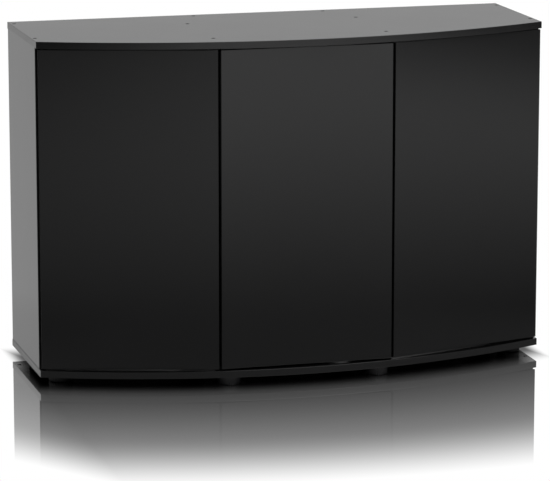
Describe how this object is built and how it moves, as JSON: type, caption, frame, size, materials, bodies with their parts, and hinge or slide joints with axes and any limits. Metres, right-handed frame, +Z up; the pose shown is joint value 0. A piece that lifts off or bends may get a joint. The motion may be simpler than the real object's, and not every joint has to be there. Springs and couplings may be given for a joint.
{
  "type": "aquarium stand",
  "caption": "Bow-front aquarium cabinet with flat handle-less doors on concealed hinges, partitions, a shelf, a half-open back with rails and round levelling feet.",
  "frame": {"origin": "on the floor, at the middle of the footprint's box", "axes": "+X to the right along the cabinet's width, +Y to its straight back, +Z up; the bowed front faces -Y"},
  "size_m": [1.21, 0.46, 0.8],
  "materials": {
    "black_laminate": "satin black laminate on particle board",
    "black_edging": "satin black plastic edge banding",
    "black_screw_finish": "black coated steel",
    "beech": "raw beech",
    "nickel_plated_steel": "nickel-plated pressed steel",
    "latch_plastic": "moulded plastic",
    "plunger_plastic": "moulded plastic",
    "foot_plastic": "moulded black plastic"
  },
  "bodies": {
    "carcass": {"top_panel": "black_laminate", "top_edge_band": "black_edging", "bottom_panel": "black_laminate", "bottom_edge_band": "black_edging", "left_side_panel": "black_laminate", "right_side_panel": "black_laminate", "left_partition": "black_laminate", "right_partition": "black_laminate", "back_board": "black_laminate", "back_rails": "black_laminate", "upright_edge_bands": "black_edging", "shelf": "black_laminate", "shelf_pins": "nickel_plated_steel", "top_screws": "black_screw_finish", "bottom_screws": "black_screw_finish", "dowels": "beech", "foot_sockets": "foot_plastic", "hinge_mounting_plates": "nickel_plated_steel", "hinge_plate_screws": "nickel_plated_steel", "left_door_upper_hinge_arm": "nickel_plated_steel", "left_door_lower_hinge_arm": "nickel_plated_steel", "left_door_latch_housing": "latch_plastic", "middle_door_upper_hinge_arm": "nickel_plated_steel", "middle_door_lower_hinge_arm": "nickel_plated_steel", "middle_door_latch_housing": "latch_plastic", "right_door_upper_hinge_arm": "nickel_plated_steel", "right_door_lower_hinge_arm": "nickel_plated_steel", "right_door_latch_housing": "latch_plastic"},
    "left_door": {"left_door": "black_laminate", "left_door_edge_band": "black_edging", "left_door_upper_hinge_cup": "nickel_plated_steel", "left_door_lower_hinge_cup": "nickel_plated_steel", "left_door_hinge_pins": "nickel_plated_steel", "left_door_cup_screws": "nickel_plated_steel", "left_door_strike_plate": "nickel_plated_steel"},
    "middle_door": {"middle_door": "black_laminate", "middle_door_edge_band": "black_edging", "middle_door_upper_hinge_cup": "nickel_plated_steel", "middle_door_lower_hinge_cup": "nickel_plated_steel", "middle_door_hinge_pins": "nickel_plated_steel", "middle_door_cup_screws": "nickel_plated_steel", "middle_door_strike_plate": "nickel_plated_steel"},
    "right_door": {"right_door": "black_laminate", "right_door_edge_band": "black_edging", "right_door_upper_hinge_cup": "nickel_plated_steel", "right_door_lower_hinge_cup": "nickel_plated_steel", "right_door_hinge_pins": "nickel_plated_steel", "right_door_cup_screws": "nickel_plated_steel", "right_door_strike_plate": "nickel_plated_steel"},
    "left_door_latch_plunger": {"left_door_latch_plunger": "plunger_plastic"},
    "middle_door_latch_plunger": {"middle_door_latch_plunger": "plunger_plastic"},
    "right_door_latch_plunger": {"right_door_latch_plunger": "plunger_plastic"},
    "foot_front_outer_left": {"foot_front_outer_left": "foot_plastic"},
    "foot_front_inner_left": {"foot_front_inner_left": "foot_plastic"},
    "foot_back_outer_left": {"foot_back_outer_left": "foot_plastic"},
    "foot_back_inner_left": {"foot_back_inner_left": "foot_plastic"},
    "foot_front_outer_right": {"foot_front_outer_right": "foot_plastic"},
    "foot_front_inner_right": {"foot_front_inner_right": "foot_plastic"},
    "foot_back_outer_right": {"foot_back_outer_right": "foot_plastic"},
    "foot_back_inner_right": {"foot_back_inner_right": "foot_plastic"}
  },
  "joints": [
    {"name": "left_door_hinge", "type": "hinge", "parent": "carcass", "child": "left_door", "pos_m": [-0.59074, -0.09643, 0.411], "axis": [0, 0, -1], "range_deg": [0, 95]},
    {"name": "middle_door_hinge", "type": "hinge", "parent": "carcass", "child": "middle_door", "pos_m": [0.1947, -0.20798, 0.411], "axis": [0, 0, 1], "range_deg": [0, 95]},
    {"name": "right_door_hinge", "type": "hinge", "parent": "carcass", "child": "right_door", "pos_m": [0.59075, -0.09642, 0.411], "axis": [0, 0, 1], "range_deg": [0, 95]},
    {"name": "left_door_latch_push", "type": "slide", "parent": "carcass", "child": "left_door_latch_plunger", "axis": [0, 1, 0], "range_m": [0, 0.004], "stiffness_N_per_m": 1500, "springref_m": -0.003},
    {"name": "middle_door_latch_push", "type": "slide", "parent": "carcass", "child": "middle_door_latch_plunger", "axis": [0, 1, 0], "range_m": [0, 0.004], "stiffness_N_per_m": 1500, "springref_m": -0.003},
    {"name": "right_door_latch_push", "type": "slide", "parent": "carcass", "child": "right_door_latch_plunger", "axis": [0, 1, 0], "range_m": [0, 0.004], "stiffness_N_per_m": 1500, "springref_m": -0.003},
    {"name": "foot_front_outer_left_level", "type": "slide", "parent": "carcass", "child": "foot_front_outer_left", "axis": [0, 0, -1], "range_m": [0, 0.008]},
    {"name": "foot_front_inner_left_level", "type": "slide", "parent": "carcass", "child": "foot_front_inner_left", "axis": [0, 0, -1], "range_m": [0, 0.008]},
    {"name": "foot_back_outer_left_level", "type": "slide", "parent": "carcass", "child": "foot_back_outer_left", "axis": [0, 0, -1], "range_m": [0, 0.008]},
    {"name": "foot_back_inner_left_level", "type": "slide", "parent": "carcass", "child": "foot_back_inner_left", "axis": [0, 0, -1], "range_m": [0, 0.008]},
    {"name": "foot_front_outer_right_level", "type": "slide", "parent": "carcass", "child": "foot_front_outer_right", "axis": [0, 0, -1], "range_m": [0, 0.008]},
    {"name": "foot_front_inner_right_level", "type": "slide", "parent": "carcass", "child": "foot_front_inner_right", "axis": [0, 0, -1], "range_m": [0, 0.008]},
    {"name": "foot_back_outer_right_level", "type": "slide", "parent": "carcass", "child": "foot_back_outer_right", "axis": [0, 0, -1], "range_m": [0, 0.008]},
    {"name": "foot_back_inner_right_level", "type": "slide", "parent": "carcass", "child": "foot_back_inner_right", "axis": [0, 0, -1], "range_m": [0, 0.008]}
  ]
}
